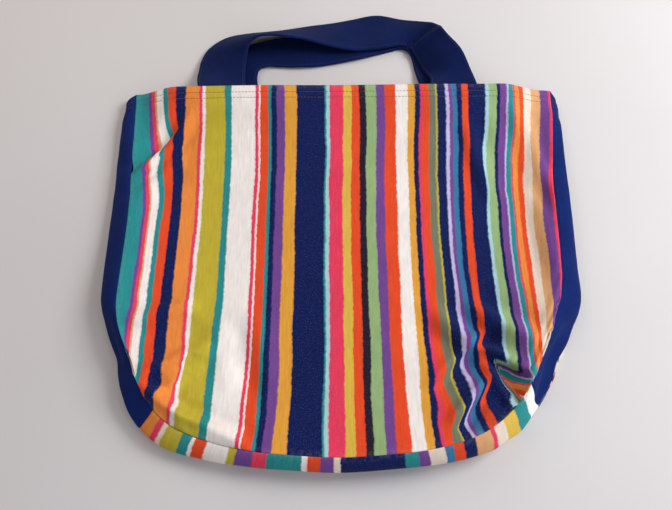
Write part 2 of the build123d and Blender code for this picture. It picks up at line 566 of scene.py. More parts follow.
def mesh_object(name, points, faces, cut=None):
    """A smooth mesh object. cut gives each point's place on the flat cloth, kept as a UV map."""
    mesh = bpy.data.meshes.new(name)
    mesh.from_pydata([tuple(p) for p in points], [], faces)
    mesh.polygons.foreach_set("use_smooth", [True] * len(mesh.polygons))
    if cut is not None:
        layer = mesh.uv_layers.new(name="cut")
        loops = np.zeros(len(mesh.loops), int)
        mesh.loops.foreach_get("vertex_index", loops)
        layer.data.foreach_set("uv", np.asarray(cut, np.float32)[loops].ravel())
    mesh.update()
    obj = bpy.data.objects.new(name, mesh)
    bpy.context.collection.objects.link(obj)
    return obj


def grid_object(name, pos, cut, flip=False):
    """A grid of points as a sheet. Its faces look along the grid's normals, or away if flipped."""
    numbers = np.arange(pos.shape[0] * pos.shape[1]).reshape(pos.shape[:2])
    faces = grid_faces(numbers, flip)
    return mesh_object(name, pos.reshape(-1, 3), faces, cut.reshape(-1, 2))


def thicken(obj, thickness, offset=-1.0):
    """Gives a sheet its thickness, behind its outer side, with the inside as its second material."""
    solid = obj.modifiers.new("thickness", "SOLIDIFY")
    solid.thickness = thickness
    solid.offset = offset
    solid.use_even_offset = False
    solid.use_rim = True
    if len(obj.data.materials) > 1:
        solid.material_offset = 1
        solid.material_offset_rim = 0
    return obj


def float_attribute(obj, name, values):
    attribute = obj.data.attributes.new(name, "FLOAT", "POINT")
    attribute.data.foreach_set("value", np.asarray(values, np.float32).ravel())


# ---- materials ----
def srgb(r, g, b):
    """A colour given in sRGB from 0 to 255, as linear light."""
    linear = []
    for c in (r, g, b):
        c = c / 255
        linear.append(c / 12.92 if c <= 0.04045 else ((c + 0.055) / 1.055) ** 2.4)
    return tuple(linear) + (1.0,)


PAINT = {
    "navy": srgb(8, 26, 82),
    "dark": srgb(34, 26, 44),
    "teal": srgb(40, 140, 140),
    "blue": srgb(56, 118, 160),
    "purple": srgb(116, 70, 142),
    "pink": srgb(232, 62, 92),
    "rose": srgb(240, 150, 150),
    "red": srgb(232, 76, 36),
    "orange": srgb(238, 140, 62),
    "gold": srgb(228, 160, 58),
    "lime": srgb(196, 176, 54),
    "yellow": srgb(222, 182, 72),
    "cream": srgb(236, 216, 196),
    "white": srgb(246, 236, 228),
    "tan": srgb(222, 164, 112),
    "aqua": srgb(168, 206, 212),
    "green": srgb(150, 178, 120),
    "moss": srgb(116, 122, 98),
    "lilac": srgb(196, 184, 222),
}

# Each stripe of the print across the front panel: its width in millimetres and its colour.
FRONT_PRINT = (
    (14.1, "teal"), (2.4, "purple"), (2.4, "pink"), (3.0, "tan"), (5.0, "white"),
    (6.1, "teal"), (7.1, "red"), (8.9, "navy"), (13.2, "orange"), (2.4, "pink"),
    (4.2, "white"), (18.4, "lime"), (6.6, "teal"), (21.7, "white"), (3.0, "pink"),
    (2.2, "white"), (7.1, "red"), (3.8, "teal"), (3.8, "navy"), (8.0, "purple"),
    (10.8, "gold"), (26.8, "navy"), (2.8, "teal"), (2.8, "aqua"), (11.8, "pink"),
    (8.9, "yellow"), (7.1, "red"), (6.1, "dark"), (9.4, "green"), (9.4, "purple"),
    (10.4, "red"), (10.8, "white"), (6.1, "gold"), (4.7, "navy"), (2.4, "pink"),
    (6.6, "red"), (6.1, "moss"), (2.8, "lime"), (6.6, "navy"), (3.3, "lilac"),
    (4.2, "purple"), (4.7, "blue"), (4.2, "navy"), (5.6, "red"), (16.5, "navy"),
    (3.8, "aqua"), (6.6, "green"), (4.2, "navy"), (5.2, "purple"), (2.8, "lilac"),
    (3.8, "teal"), (2.4, "pink"), (3.8, "orange"), (4.7, "red"), (7.5, "cream"),
    (9.4, "tan"), (9.4, "purple"), (4.7, "pink"),
)
BASE_PRINT = (
    (9.0, "orange"), (4.0, "pink"), (4.0, "cream"), (15.0, "lime"), (7.0, "teal"), (3.0, "white"),
    (9.0, "red"), (19.0, "white"), (6.0, "lime"), (13.0, "purple"), (11.0, "pink"),
    (27.0, "teal"), (3.0, "white"), (9.5, "red"), (11.0, "purple"), (5.0, "cream"),
    (48.0, "navy"), (10.5, "teal"), (8.0, "purple"), (11.0, "cream"), (7.0, "blue"),
    (8.5, "red"), (9.0, "navy"), (13.0, "tan"), (4.0, "pink"), (9.0, "cream"),
    (13.0, "yellow"), (12.0, "teal"), (24.0, "white"),
)


class Nodes:
    """Short ways to add and join a material's nodes."""

    def __init__(self, material):
        material.use_nodes = True
        self.tree = material.node_tree
        self.tree.nodes.clear()

    def add(self, kind, **settings):
        node = self.tree.nodes.new(kind)
        for key, value in settings.items():
            setattr(node, key, value)
        return node

    def link(self, source, target):
        self.tree.links.new(source, target)

    def put(self, socket, value):
        if isinstance(value, bpy.types.NodeSocket):
            self.link(value, socket)
        else:
            socket.default_value = value

    def math(self, operation, a, b=0.0, c=0.0):
        node = self.add("ShaderNodeMath", operation=operation)
        for socket, value in zip(node.inputs, (a, b, c)):
            self.put(socket, value)
        return node.outputs[0]

    def vector(self, operation, a, b):
        node = self.add("ShaderNodeVectorMath", operation=operation)
        self.put(node.inputs[0], a)
        self.put(node.inputs[1], b)
        return node.outputs[0]

    def join(self, x=0.0, y=0.0, z=0.0):
        node = self.add("ShaderNodeCombineXYZ")
        for socket, value in zip(node.inputs, (x, y, z)):
            self.put(socket, value)
        return node.outputs[0]

    def split(self, vector):
        node = self.add("ShaderNodeSeparateXYZ")
        self.link(vector, node.inputs[0])
        return node.outputs

    def noise(self, vector, scale, detail=2.0, roughness=0.5):
        node = self.add("ShaderNodeTexNoise")
        self.put(node.inputs["Vector"], vector)
        node.inputs["Scale"].default_value = scale
        node.inputs["Detail"].default_value = detail
        node.inputs["Roughness"].default_value = roughness
        return node.outputs["Fac"]

    def mix(self, factor, a, b, blend="MIX"):
        node = self.add("ShaderNodeMix", data_type="RGBA", blend_type=blend)
        self.put(node.inputs["Factor"], factor)
        self.put(node.inputs[6], a)
        self.put(node.inputs[7], b)
        return node.outputs[2]

    def ramp(self, value, stops, constant=False):
        """stops are (position, colour) pairs in order."""
        node = self.add("ShaderNodeValToRGB")
        ramp = node.color_ramp
        ramp.interpolation = "CONSTANT" if constant else "LINEAR"
        while len(ramp.elements) < len(stops):
            ramp.elements.new(1.0)
        for element, (position, colour) in zip(ramp.elements, stops):
            element.position = position
            element.color = colour
        self.put(node.inputs[0], value)
        return node.outputs["Color"]

    def range(self, value, low, high, to_low=0.0, to_high=1.0):
        node = self.add("ShaderNodeMapRange")
        self.put(node.inputs["Value"], value)
        for name, number in zip(("From Min", "From Max", "To Min", "To Max"), (low, high, to_low, to_high)):
            node.inputs[name].default_value = number
        return node.outputs["Result"]


def weave(nodes, place, pitch, depth):
    """The height of a plain weave on the cut cloth: threads over and under each other."""
    x, y, _ = nodes.split(place)
    turn = 2 * pi / pitch
    wobble = nodes.noise(place, 220.0, 2.0)
    warp = nodes.math("SINE", nodes.math("MULTIPLY_ADD", x, turn, nodes.math("MULTIPLY", wobble, 1.6)))
    weft = nodes.math("SINE", nodes.math("MULTIPLY_ADD", y, turn, nodes.math("MULTIPLY", wobble, 1.6)))
    return nodes.math("MULTIPLY", nodes.math("MULTIPLY", warp, weft), depth)


def cloth_shader(nodes, colour, height, roughness, sheen, bump=0.5):
    """A matt cloth surface. height is in metres."""
    shader = nodes.add("ShaderNodeBsdfPrincipled")
    nodes.put(shader.inputs["Base Color"], colour)
    nodes.put(shader.inputs["Roughness"], roughness)
    shader.inputs["Specular IOR Level"].default_value = 0.08
    shader.inputs["Sheen Weight"].default_value = sheen
    shader.inputs["Sheen Roughness"].default_value = 0.5
    bump_node = nodes.add("ShaderNodeBump")
    bump_node.inputs["Strength"].default_value = bump
    bump_node.inputs["Distance"].default_value = 1.0
    nodes.put(bump_node.inputs["Height"], height)
    nodes.link(bump_node.outputs[0], shader.inputs["Normal"])
    out = nodes.add("ShaderNodeOutputMaterial")
    nodes.link(shader.outputs[0], out.inputs["Surface"])
    return shader


MOST_STOPS = 30  # on one colour ramp


def stripes(nodes, along, bands):
    """The colour at a place along a print, in metres from its first stripe."""
    total = sum(width for width, _ in bands) / MILLIMETRES
    position = nodes.math("DIVIDE", along, total)
    colour = None
    start = 0.0
    for first in range(0, len(bands), MOST_STOPS):
        stops = []
        at = start
        for width, name in bands[first : first + MOST_STOPS]:
            stops.append((at / total, PAINT[name]))
            at += width / MILLIMETRES
        layer = nodes.ramp(position, stops, constant=True)
        if colour is None:
            colour = layer
        else:
            colour = nodes.mix(nodes.math("GREATER_THAN", position, start / total), colour, layer)
        start = at
    return colour


def painted_edges(nodes, place, x, offset):
    """The place across the print, moved to and fro as a brush does: slowly, and a little quickly."""
    slow = nodes.noise(nodes.vector("MULTIPLY", place, (1.0, 0.35, 1.0)), 45.0, 2.0)
    quick = nodes.noise(place, 260.0, 2.0)
    shift = nodes.math("MULTIPLY_ADD", nodes.math("SUBTRACT", slow, 0.5), 0.0044, offset)
    shift = nodes.math("MULTIPLY_ADD", nodes.math("SUBTRACT", quick, 0.5), 0.0022, shift)
    return nodes.math("ADD", x, shift)


def brushed(nodes, place, colour):
    """The colour, lighter and darker along the brush's way and from place to place."""
    brush = nodes.noise(nodes.vector("MULTIPLY", place, (1.0, 0.12, 1.0)), 520.0, 3.0, 0.6)
    cloudy = nodes.noise(place, 22.0, 3.0, 0.6)
    light = nodes.range(brush, 0.3, 0.7, 0.90, 1.07)
    light = nodes.math("MULTIPLY", light, nodes.range(cloudy, 0.3, 0.7, 0.93, 1.05))
    return nodes.mix(1.0, colour, nodes.join(light, light, light), "MULTIPLY")


def worn(nodes, place, colour):
    """The colour with pale specks, and paler still near the cloth's edge."""
    speck = nodes.range(nodes.noise(place, 1100.0, 1.0), 0.55, 0.8, 0.0, 0.07)
    colour = nodes.mix(speck, colour, PAINT["white"])
    edge = nodes.add("ShaderNodeAttribute", attribute_name="edge").outputs["Fac"]
    near_edge = nodes.range(edge, 0.0, 0.006, 1.0, 0.0)
    rubbed = nodes.range(nodes.noise(place, 300.0, 2.0), 0.4, 0.7, 0.0, 0.07)
    return nodes.mix(nodes.math("MULTIPLY", near_edge, rubbed), colour, PAINT["cream"])


def printed_canvas(name, bands, offset):
    """Canvas printed with stripes that have hand-painted, uneven edges."""
    material = bpy.data.materials.new(name)
    nodes = Nodes(material)
    place = nodes.add("ShaderNodeUVMap", uv_map="cut").outputs[0]
    x, y, _ = nodes.split(place)
    along = painted_edges(nodes, place, x, offset)
    ahead = nodes.math("ADD", along, 0.0007)
    colour = nodes.mix(0.35, stripes(nodes, along, bands), stripes(nodes, ahead, bands))
    colour = worn(nodes, place, brushed(nodes, place, colour))
    rumple = nodes.math("MULTIPLY", nodes.noise(place, 38.0, 4.0, 0.55), 0.0014)
    threads = weave(nodes, place, 0.0011, 0.00014)
    height = nodes.math("ADD", nodes.math("ADD", rumple, threads), hem_height(nodes, y))
    cloth_shader(nodes, colour, height, 0.92, 0.04)
    return material


def hem_height(nodes, y):
    """The hollows that the hem's two rows of stitches pull into the cloth. y runs up to the hem."""
    total = None
    for depth in STITCH_ROWS:
        off = nodes.math("ABSOLUTE", nodes.math("SUBTRACT", y, PANEL_HEIGHT - depth))
        dip = nodes.range(off, 0.0, 0.0016, -0.0005, 0.0)
        total = dip if total is None else nodes.math("ADD", total, dip)
    return total


def plain_canvas(name, colour, light_colour, sheen, pitch=0.0010):
    """Plain dyed canvas with a weave, slight unevenness and paler worn edges."""
    material = bpy.data.materials.new(name)
    nodes = Nodes(material)
    place = nodes.add("ShaderNodeUVMap", uv_map="cut").outputs[0]
    cloudy = nodes.noise(place, 30.0, 4.0, 0.6)
    fine = nodes.noise(nodes.vector("MULTIPLY", place, (1.0, 0.25, 1.0)), 900.0, 2.0, 0.6)
    patchy = nodes.range(cloudy, 0.3, 0.7, 0.0, 0.5)
    streaky = nodes.range(fine, 0.35, 0.7, 0.0, 0.4)
    edge = nodes.add("ShaderNodeAttribute", attribute_name="edge").outputs["Fac"]
    rubbed = nodes.range(edge, 0.0, 0.004, 0.35, 0.0)
    paler = nodes.math("ADD", nodes.math("ADD", patchy, streaky), rubbed)
    tone = nodes.mix(paler, colour, light_colour)
    rumple = nodes.math("MULTIPLY", nodes.noise(place, 45.0, 4.0, 0.55), 0.0012)
    height = nodes.math("ADD", rumple, weave(nodes, place, pitch, 0.00016))
    cloth_shader(nodes, tone, height, 0.88, sheen)
    return material


def thread_material(name, colour, dark):
    material = bpy.data.materials.new(name)
    nodes = Nodes(material)
    place = nodes.add("ShaderNodeTexCoord").outputs["Object"]
    tone = nodes.mix(nodes.noise(place, 1500.0, 2.0), dark, colour)
    twist = nodes.math("MULTIPLY", nodes.noise(place, 4000.0, 1.0), 0.0001)
    cloth_shader(nodes, tone, twist, 0.7, 0.3)
    return material


# ---- the settled bag as grids ----
class Surface:
    """A settled sheet: pos, cut and normal grids. The normals point out of the bag."""

    def __init__(self, pos, cut, outward):
        self.pos = pos
        self.cut = cut
        self.outward = outward
        self.normal = grid_normals(pos) * outward

    def place(self, cuts):
        """The points and normals at places on the cut cloth, from the nearest points of the grid."""
        cuts = np.asarray(cuts, float)
        flat = self.cut.reshape(-1, 2)
        pos = self.pos.reshape(-1, 3)
        normal = self.normal.reshape(-1, 3)
        du_cut = np.gradient(self.cut, axis=0).reshape(-1, 2)
        dv_cut = np.gradient(self.cut, axis=1).reshape(-1, 2)
        du_pos = np.gradient(self.pos, axis=0).reshape(-1, 3)
        dv_pos = np.gradient(self.pos, axis=1).reshape(-1, 3)
        points, normals = [], []
        for cut in cuts.reshape(-1, 2):
            k = int(np.argmin(((flat - cut) ** 2).sum(1)))
            d = cut - flat[k]
            det = du_cut[k, 0] * dv_cut[k, 1] - du_cut[k, 1] * dv_cut[k, 0]
            a = (d[0] * dv_cut[k, 1] - d[1] * dv_cut[k, 0]) / det
            b = (d[1] * du_cut[k, 0] - d[0] * du_cut[k, 1]) / det
            points.append(pos[k] + a * du_pos[k] + b * dv_pos[k])
            normals.append(normal[k])
        return np.array(points), np.array(normals)


SEAM_CELLS = (0.0, 0.12, 0.35, 0.7)  # extra rows beside a seam, in cells of the refined grid
SEAM_SINK = (0.0010, 0.00055, 0.0002, 0.00005)  # how far each is drawn in


def seam_rows(count, first, last):
    """Places along an axis of count points, with extra rows at the ends that are seams."""
    inner = [float(k) for k in range(1, count - 1)]
    head = list(SEAM_CELLS) if first else [0.0]
    tail = [count - 1 - c for c in reversed(SEAM_CELLS)] if last else [count - 1.0]
    return np.array(head + inner + tail)


def sink_at(places, first, last):
    """How far each place is drawn in by the seams at the ends of its axis."""
    sink = np.zeros(len(places))
    for k, depth in enumerate(SEAM_SINK):
        if first:
            sink[k] = depth
        if last:
            sink[len(places) - 1 - k] = depth
    return sink


def seamed(surface, seams):
    """The surface with crisp seams. seams says which of its edges are seams: first and last along each
    axis. An edge given as an array is drawn in along those directions."""
    n, m = surface.pos.shape[:2]
    s = seam_rows(n, seams[0] is not None, seams[1] is not None)
    t = seam_rows(m, seams[2] is not None, seams[3] is not None)
    ss, tt = np.meshgrid(s, t, indexing="ij")
    pos = sample(surface.pos, ss, tt)
    cut = sample(surface.cut, ss, tt)
    normal = unit(sample(surface.normal, ss, tt))
    sink_s = sink_at(s, seams[0] is not None, seams[1] is not None)
    sink_t = sink_at(t, seams[2] is not None, seams[3] is not None)
    sink = np.maximum(sink_s[:, None], sink_t[None, :])
    way = normal.copy()
    for number, edge in enumerate(seams):
        if not isinstance(edge, np.ndarray):
            continue
        row = -(number % 2)
        if number < 2:
            way[row] = unit(columns_at(t, np.arange(m), edge))
        else:
            way[:, row] = unit(columns_at(s, np.arange(n), edge))
    return pos - way * sink[..., None], cut


POINTS_AT_ONCE = 2000


def seam_distance(cut):
    """How far each point of the panel's cut cloth is from its seam or hem."""
    edge = np.array([seam_point(s) for s in np.linspace(0, SEAM_LENGTH, 300)])
    flat = cut.reshape(-1, 2)
    gaps = []
    for some in np.array_split(flat, len(flat) // POINTS_AT_ONCE + 1):
        gaps.append(np.sqrt(((some[:, None] - edge[None]) ** 2).sum(-1)).min(1))
    return np.minimum(np.concatenate(gaps), np.abs(PANEL_HEIGHT - flat[:, 1]))


def bend_with_bag(obj):
    """The piece, with its transform baked into its points."""
    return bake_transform(obj)


def make_panel(name, surface, seams, print_cut, material, inside, nodes):
    pos, cut = seamed(surface, seams)
    shown = seamed(Surface(surface.pos, print_cut, surface.outward), seams)[1]
    obj = grid_object(name, pos, shown, surface.outward < 0)
    obj.data.materials.append(material)
    obj.data.materials.append(inside)
    float_attribute(obj, "edge", seam_distance(cut))
    thicken(obj, CLOTH)
    bend_with_bag(obj)
    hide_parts(*nodes)
    return obj


def make_gusset(name, surface, seams, material, inside, nodes, bends):
    """A length of the gusset. The first axis runs along the seam and the second across the gusset."""
    pos, cut = seamed(surface, seams)
    obj = grid_object(name, pos, cut, surface.outward < 0)
    obj.data.materials.append(material)
    obj.data.materials.append(inside)
    across = cut[..., 0] if bends else cut[..., 1]
    gap = np.minimum(np.abs(across), np.abs(GUSSET_DEPTH - across))
    float_attribute(obj, "edge", gap)
    thicken(obj, CLOTH)
    if bends:
        bend_with_bag(obj)
    else:
        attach(obj, "lower_half")
    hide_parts(*nodes)
    return obj


FOLD_GAP = 0.0002  # between the panel and the hem turned in behind it


def turned_hem(name, surface, material, depth, node):
    """The hem: it rolls over the mouth's edge and runs back down inside. The surface's cut y runs up to
    the mouth along its second axis."""
    radius = CLOTH + FOLD_GAP / 2
    edge_pos, edge_normal = surface.pos[:, 0], surface.normal[:, 0]
    up = unit(surface.pos[:, 0] - surface.pos[:, 1])
    rows, cuts = [], []
    x = surface.cut[:, 0, 0]
    for a in np.linspace(0, pi, 6):
        rows.append(edge_pos - edge_normal * radius * (1 - cos(a)) + up * radius * sin(a))
        cuts.append(np.stack([x, np.full(len(x), PANEL_HEIGHT + radius * a)], -1))
    steps = 6
    i = np.arange(len(x)).astype(float)
    places = np.arange(surface.cut.shape[1])
    for k in range(1, steps + 1):
        down = depth * k / steps
        column = np.array([np.interp(down, PANEL_HEIGHT - row, places) for row in surface.cut[..., 1]])
        pos = sample(surface.pos, i, column)
        normal = unit(sample(surface.normal, i, column))
        rows.append(pos - normal * 2 * radius)
        cuts.append(np.stack([x, np.full(len(x), PANEL_HEIGHT + radius * pi + down)], -1))
    pos = np.stack(rows, 1)
    cut = np.stack(cuts, 1)
    obj = grid_object(name, pos, cut, surface.outward > 0)
    obj.data.materials.append(material)
    float_attribute(obj, "edge", np.minimum(np.abs(cut[..., 1] - PANEL_HEIGHT - depth), 0.02))
    thicken(obj, CLOTH * 0.96)
    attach(obj, "upper_half")
    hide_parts(node)
    return obj


# A stitch as rings round its thread: the share of its length, then the ring's size and how far it
# stands up from the cloth, both in thread radii.
STITCH_RINGS = ((0.0, 0.35, -0.6), (0.15, 0.9, 0.25), (0.5, 1.0, 0.55), (0.85, 0.9, 0.25), (1.0, 0.35, -0.6))
STITCH_SIDES = 5
STITCH_STEP = 0.0005  # each way along the line, to find the thread's direction


def thread_row(points, normals, length, gap, radius):
    """Stitches along a line of points: a short thread that rises from the cloth and goes back in."""
    points, normals = np.asarray(points), np.asarray(normals)
    along = length_along(points)
    verts, faces = [], []
    sides = STITCH_SIDES
    count = int(along[-1] / (length + gap))
    spare = (along[-1] - count * (length + gap)) / 2
    for k in range(count):
        start = spare + k * (length + gap) + gap / 2
        base = len(verts)
        for share, size, rise in STITCH_RINGS:
            at = start + share * length
            p = columns_at(at, along, points)
            n = unit(columns_at(at, along, normals))
            ahead, behind = (columns_at(at + step, along, points) for step in (STITCH_STEP, -STITCH_STEP))
            b = np.cross(unit(ahead - behind), n)
            for side in range(sides):
                a = 2 * pi * side / sides
                verts.append(p + n * radius * (rise + size * cos(a)) + b * radius * size * sin(a))
        for ring in range(4):
            for side in range(sides):
                first = base + ring * sides + side
                second = base + ring * sides + (side + 1) % sides
                faces.append((first, second, second + sides, first + sides))
        faces.append(tuple(base + side for side in reversed(range(sides))))
        faces.append(tuple(base + 4 * sides + side for side in range(sides)))
    return verts, faces


def threads_object(name, lines, length, gap, radius, material):
    verts, faces = [], []
    for points, normals in lines:
        v, f = thread_row(points, normals, length, gap, radius)
        faces += [tuple(i + len(verts) for i in face) for face in f]
        verts += v
    obj = mesh_object(name, verts, faces)
    obj.data.materials.append(material)
    return obj


# ---- the handles ----
STRAP_WIDTH = 0.050
STRAP_THICKNESS = 0.0022
STRAP_BOW = 0.12  # how much of its spare width a tilted strap shows as a curve across it
STRAP_INSIDE = 0.032  # how much of each end is sewn inside the hem

# Where the front strap lies, in millimetres: its outer edge and its inner edge, at places along it from
# the left end, outside the mouth. It stands on its outer edge at the left corner, lies flat on the band
# and is raised on its outer side at the right corner.
FRONT_STRAP = (
    ((-147, 152, 12.0), (-97, 152, 12.5)),
    ((-148, 168, 6.0), (-98, 168, 11.0)),
    ((-147, 188, 3.0), (-97, 183, 15.0)),
    ((-140, 205, 2.5), (-94, 191, 23.0)),
    ((-123, 219, 2.5), (-86, 196, 29.0)),
    ((-99, 225, 2.5), (-74, 197, 30.0)),
    ((-73, 229, 2.5), (-57, 197, 29.0)),
    ((-44, 234, 2.5), (-38, 198, 25.0)),
    ((-14, 239, 3.0), (-11, 195, 17.0)),
    ((17, 246, 3.5), (20, 196, 10.0)),
    ((44, 251, 4.0), (46, 200, 8.0)),
    ((71, 245, 4.5), (66, 205, 7.0)),
    ((94, 234, 12.0), (77, 204, 6.0)),
    ((107, 220, 23.0), (83, 192, 5.0)),
    ((117, 200, 27.0), (88, 180, 5.0)),
    ((129, 181, 26.0), (92, 167, 6.5)),
    ((138, 161, 18.0), (96, 155, 12.0)),
)
BACK_STRAP = (
    ((-135, 152, 4.5), (-85, 152, 4.5)),
    ((-135, 165, 3.5), (-86, 164, 3.5)),
    ((-130, 181, 3.0), (-84, 174, 3.5)),
    ((-119, 195, 3.0), (-76, 179, 3.5)),
    ((-100, 205, 4.0), (-62, 179, 3.5)),
    ((-76, 213, 5.0), (-47, 178, 3.5)),
    ((-44, 219, 5.0), (-27, 179, 3.0)),
    ((-13, 223, 4.0), (-6, 183, 3.0)),
    ((17, 231, 3.0), (24, 190, 3.0)),
    ((46, 236, 2.5), (50, 199, 2.5)),
    ((73, 231, 2.5), (68, 204, 2.5)),
    ((92, 219, 3.0), (76, 200, 2.5)),
    ((105, 203, 3.5), (80, 188, 2.5)),
    ((118, 185, 4.5), (82, 175, 2.5)),
    ((129, 168, 5.0), (84, 163, 3.5)),
    ((135, 152, 5.0), (86, 152, 4.5)),
)


def strap_grid(stations, roots, count, wide, ripple):
    """The strap's middle surface as a grid: along it, and from its outer edge to its inner one.
    roots gives the stations inside the mouth at the left and the right."""
    laid = [(np.array(s[0]) / MILLIMETRES, np.array(s[1]) / MILLIMETRES) for s in stations]
    outer, inner = ([s[k] for s in roots[0] + laid + roots[1]] for k in (0, 1))
    both = np.concatenate([np.array(outer), np.array(inner)], 1)
    line = smooth_through(both, count * 4)
    middle = (line[:, :3] + line[:, 3:]) / 2
    along = length_along(middle)
    even = np.linspace(0, along[-1], count)
    line = columns_at(even, along, line)
    o, i = line[:, None, :3], line[:, None, 3:]
    t = np.linspace(0, 1, wide)[None, :, None]
    pos = o * (1 - t) + i * t
    chord = np.linalg.norm(line[:, :3] - line[:, 3:], axis=1)
    bow = np.array([bulge_to_length(c, STRAP_WIDTH) for c in chord])
    bow = evened(bow, 5, mode="edge")
    normal = grid_normals(pos)
    normal = normal * np.sign(normal[..., 2:3].mean())
    across = np.linspace(0, 1, wide)[None, :]
    lift = bow[:, None] * np.sin(pi * across) * STRAP_BOW
    cut = np.stack(np.meshgrid(even, (np.linspace(0, 1, wide) - 0.5) * STRAP_WIDTH, indexing="ij"), -1)
    lift = lift + ripple(cut[..., 0], cut[..., 1])
    return pos + normal * lift[..., None], cut, even[-1]


# ---- the scene ----
def make_stage():
    floor = flat_square("floor", 3.0)
    material = bpy.data.materials.new("pale_paper")
    nodes = Nodes(material)
    place = nodes.add("ShaderNodeTexCoord").outputs["Object"]
    tone = nodes.mix(nodes.noise(place, 3.0, 3.0), srgb(208, 202, 199), srgb(220, 215, 213))
    grain = nodes.math("MULTIPLY", nodes.noise(place, 900.0, 2.0), 0.0001)
    cloth_shader(nodes, tone, grain, 0.8, 0.0, 0.3)
    floor.data.materials.append(material)


def area_light(name, place, target, size, watts, colour):
    data = bpy.data.lights.new(name, "AREA")
    data.energy = watts
    data.size = size
    data.color = colour
    obj = bpy.data.objects.new(name, data)
    obj.location = place
    obj.rotation_euler = (Vector(target) - Vector(place)).to_track_quat("-Z", "Y").to_euler()
    bpy.context.collection.objects.link(obj)


def make_lights():
    middle = (0.0, 0.0, 0.0)
    area_light("key", (1.05, 0.25, 0.85), middle, 0.6, 15.0, (0.94, 0.97, 1.0))
    area_light("fill", (-0.6, 0.9, 0.9), middle, 1.0, 4.5, (1.0, 0.88, 0.76))
    area_light("window", (0.85, -0.75, 0.60), middle, 0.7, 4.0, (0.78, 0.88, 1.0))
    world = bpy.data.worlds.new("soft_room")
    bpy.context.scene.world = world
    world.use_nodes = True
    background = world.node_tree.nodes["Background"]
    background.inputs["Color"].default_value = (0.96, 0.95, 1.0, 1.0)
    background.inputs["Strength"].default_value = 0.36


def make_camera():
    elevation = radians(65)
    target = Vector((-0.0022, -0.048, 0.010))
    distance = 0.543
    data = bpy.data.cameras.new("camera")
    data.sensor_width = 36
    data.lens = 32.1
    obj = bpy.data.objects.new("camera", data)
    bpy.context.collection.objects.link(obj)
    back = Vector((0, -cos(elevation), sin(elevation)))
    obj.location = target + back * distance
    obj.rotation_euler = (-back).to_track_quat("-Z", "Y").to_euler()
    bpy.context.scene.camera = obj


# ---- make everything ----
bpy.context.scene.view_settings.view_transform = "Standard"
make_stage()
make_lights()
make_camera()

rest, start, front_ids, back_ids, strip_ids, flat_cut, stations = bag_mesh()
bag_faces = grid_faces(front_ids, True) + grid_faces(back_ids, False) + grid_faces(strip_ids, True)
cloth_floor = floor_for_cloth()
settled = simulate(rest, start, bag_faces, seam_pins(front_ids, strip_ids), frames=30)
bpy.data.objects.remove(cloth_floor)
settled = calm(settled, start + [0, BASE_Y, 0], bag_faces)

panel_cut = finer_both(flat_cut)
front = Surface(finer_both(settled[front_ids]), panel_cut, -1.0)
back = Surface(finer_both(settled[back_ids]), panel_cut, 1.0)
around = finer_both(settled[strip_ids])
along = finer(np.array(stations)[:, None], 0)[:, 0]
around_normal = grid_normals(around) * -1.0


# Where the left side, the base and the right side lie in the gusset's rows.
left_rows = slice(0, 2 * DOWN + 1)
base_rows = slice(2 * DOWN, 2 * (DOWN + ACROSS) + 1)
right_rows = slice(2 * (DOWN + ACROSS), None)


def panel_seams(surface, column):
    """The seam directions on a panel's left, right and base edges, from the gusset's edge column."""
    normal = around_normal[:, column]
    left = unit(surface.normal[0] + normal[left_rows])
    base = unit(surface.normal[:, -1] + normal[base_rows])
    right = unit(surface.normal[-1] + normal[right_rows][::-1])
    return [left, right, None, base]


def seam_normals(panel_edges):
    """The same directions along the gusset's edge."""
    return np.concatenate([panel_edges[0], panel_edges[3][1:-1], panel_edges[1][::-1]])


front_seams = panel_seams(front, 0)
back_seams = panel_seams(back, -1)
front_way = seam_normals(front_seams)
front_seams = [way if way is None else finer(way, 0) for way in front_seams]
front = Surface(finer_both(front.pos), finer_both(panel_cut), -1.0)
front_pos, front_print_cut = tuck(front.pos, front.normal, front.cut)
front = Surface(front_pos, front.cut, -1.0)
back_way = seam_normals(back_seams)


def gusset_surface(first, last, cells, side):
    """A length of the gusset between two distances along the seam, and its seam directions. side is -1
    for the left gusset, 1 for the right one and 0 for the base."""
    s = np.linspace(first, last, cells + 1)
    rows = np.arange(len(along))
    place = np.interp(s, along, rows)
    ss, tt = np.meshgrid(place, np.arange(around.shape[1]).astype(float), indexing="ij")
    pos = sample(around, ss, tt)
    across = np.linspace(0, GUSSET_DEPTH, around.shape[1])
    if side:
        down = (s - first) if side < 0 else (last - s)
        x, y = across[None], (PANEL_HEIGHT - down)[:, None]
    else:
        x, y = (s - first)[:, None], across[None]
    cut = np.stack([np.broadcast_to(x, pos.shape[:2]), np.broadcast_to(y, pos.shape[:2])], -1)
    surface = Surface(pos, cut, -1.0)
    fw = columns_at(place, rows, front_way)
    bw = columns_at(place, rows, back_way)
    return surface, fw, bw


striped = printed_canvas("striped_canvas", FRONT_PRINT, HALF_WIDTH)
striped_base = printed_canvas("striped_canvas_base", BASE_PRINT, 0.0)
navy = plain_canvas("navy_canvas", srgb(7, 26, 84), srgb(16, 42, 108), 0.03)
reverse = plain_canvas("canvas_reverse", srgb(214, 200, 180), srgb(232, 222, 206), 0.1)
navy_inside = plain_canvas("navy_reverse", srgb(34, 42, 92), srgb(60, 70, 120), 0.1)
strap_cloth = plain_canvas("navy_strap", srgb(5, 20, 62), srgb(13, 31, 84), 0.03, 0.0012)
hem_thread = thread_material("hem_thread", srgb(120, 96, 84), srgb(70, 52, 60))
navy_thread = thread_material("navy_thread", srgb(30, 40, 96), srgb(16, 20, 60))

SIDE_CELLS = 130  # along a navy gusset
BASE_CELLS = 120
panel_looks = (striped, reverse)
navy_looks = (navy, navy_inside)


def halves(name):
    return (name + "_lower", name + "_upper")


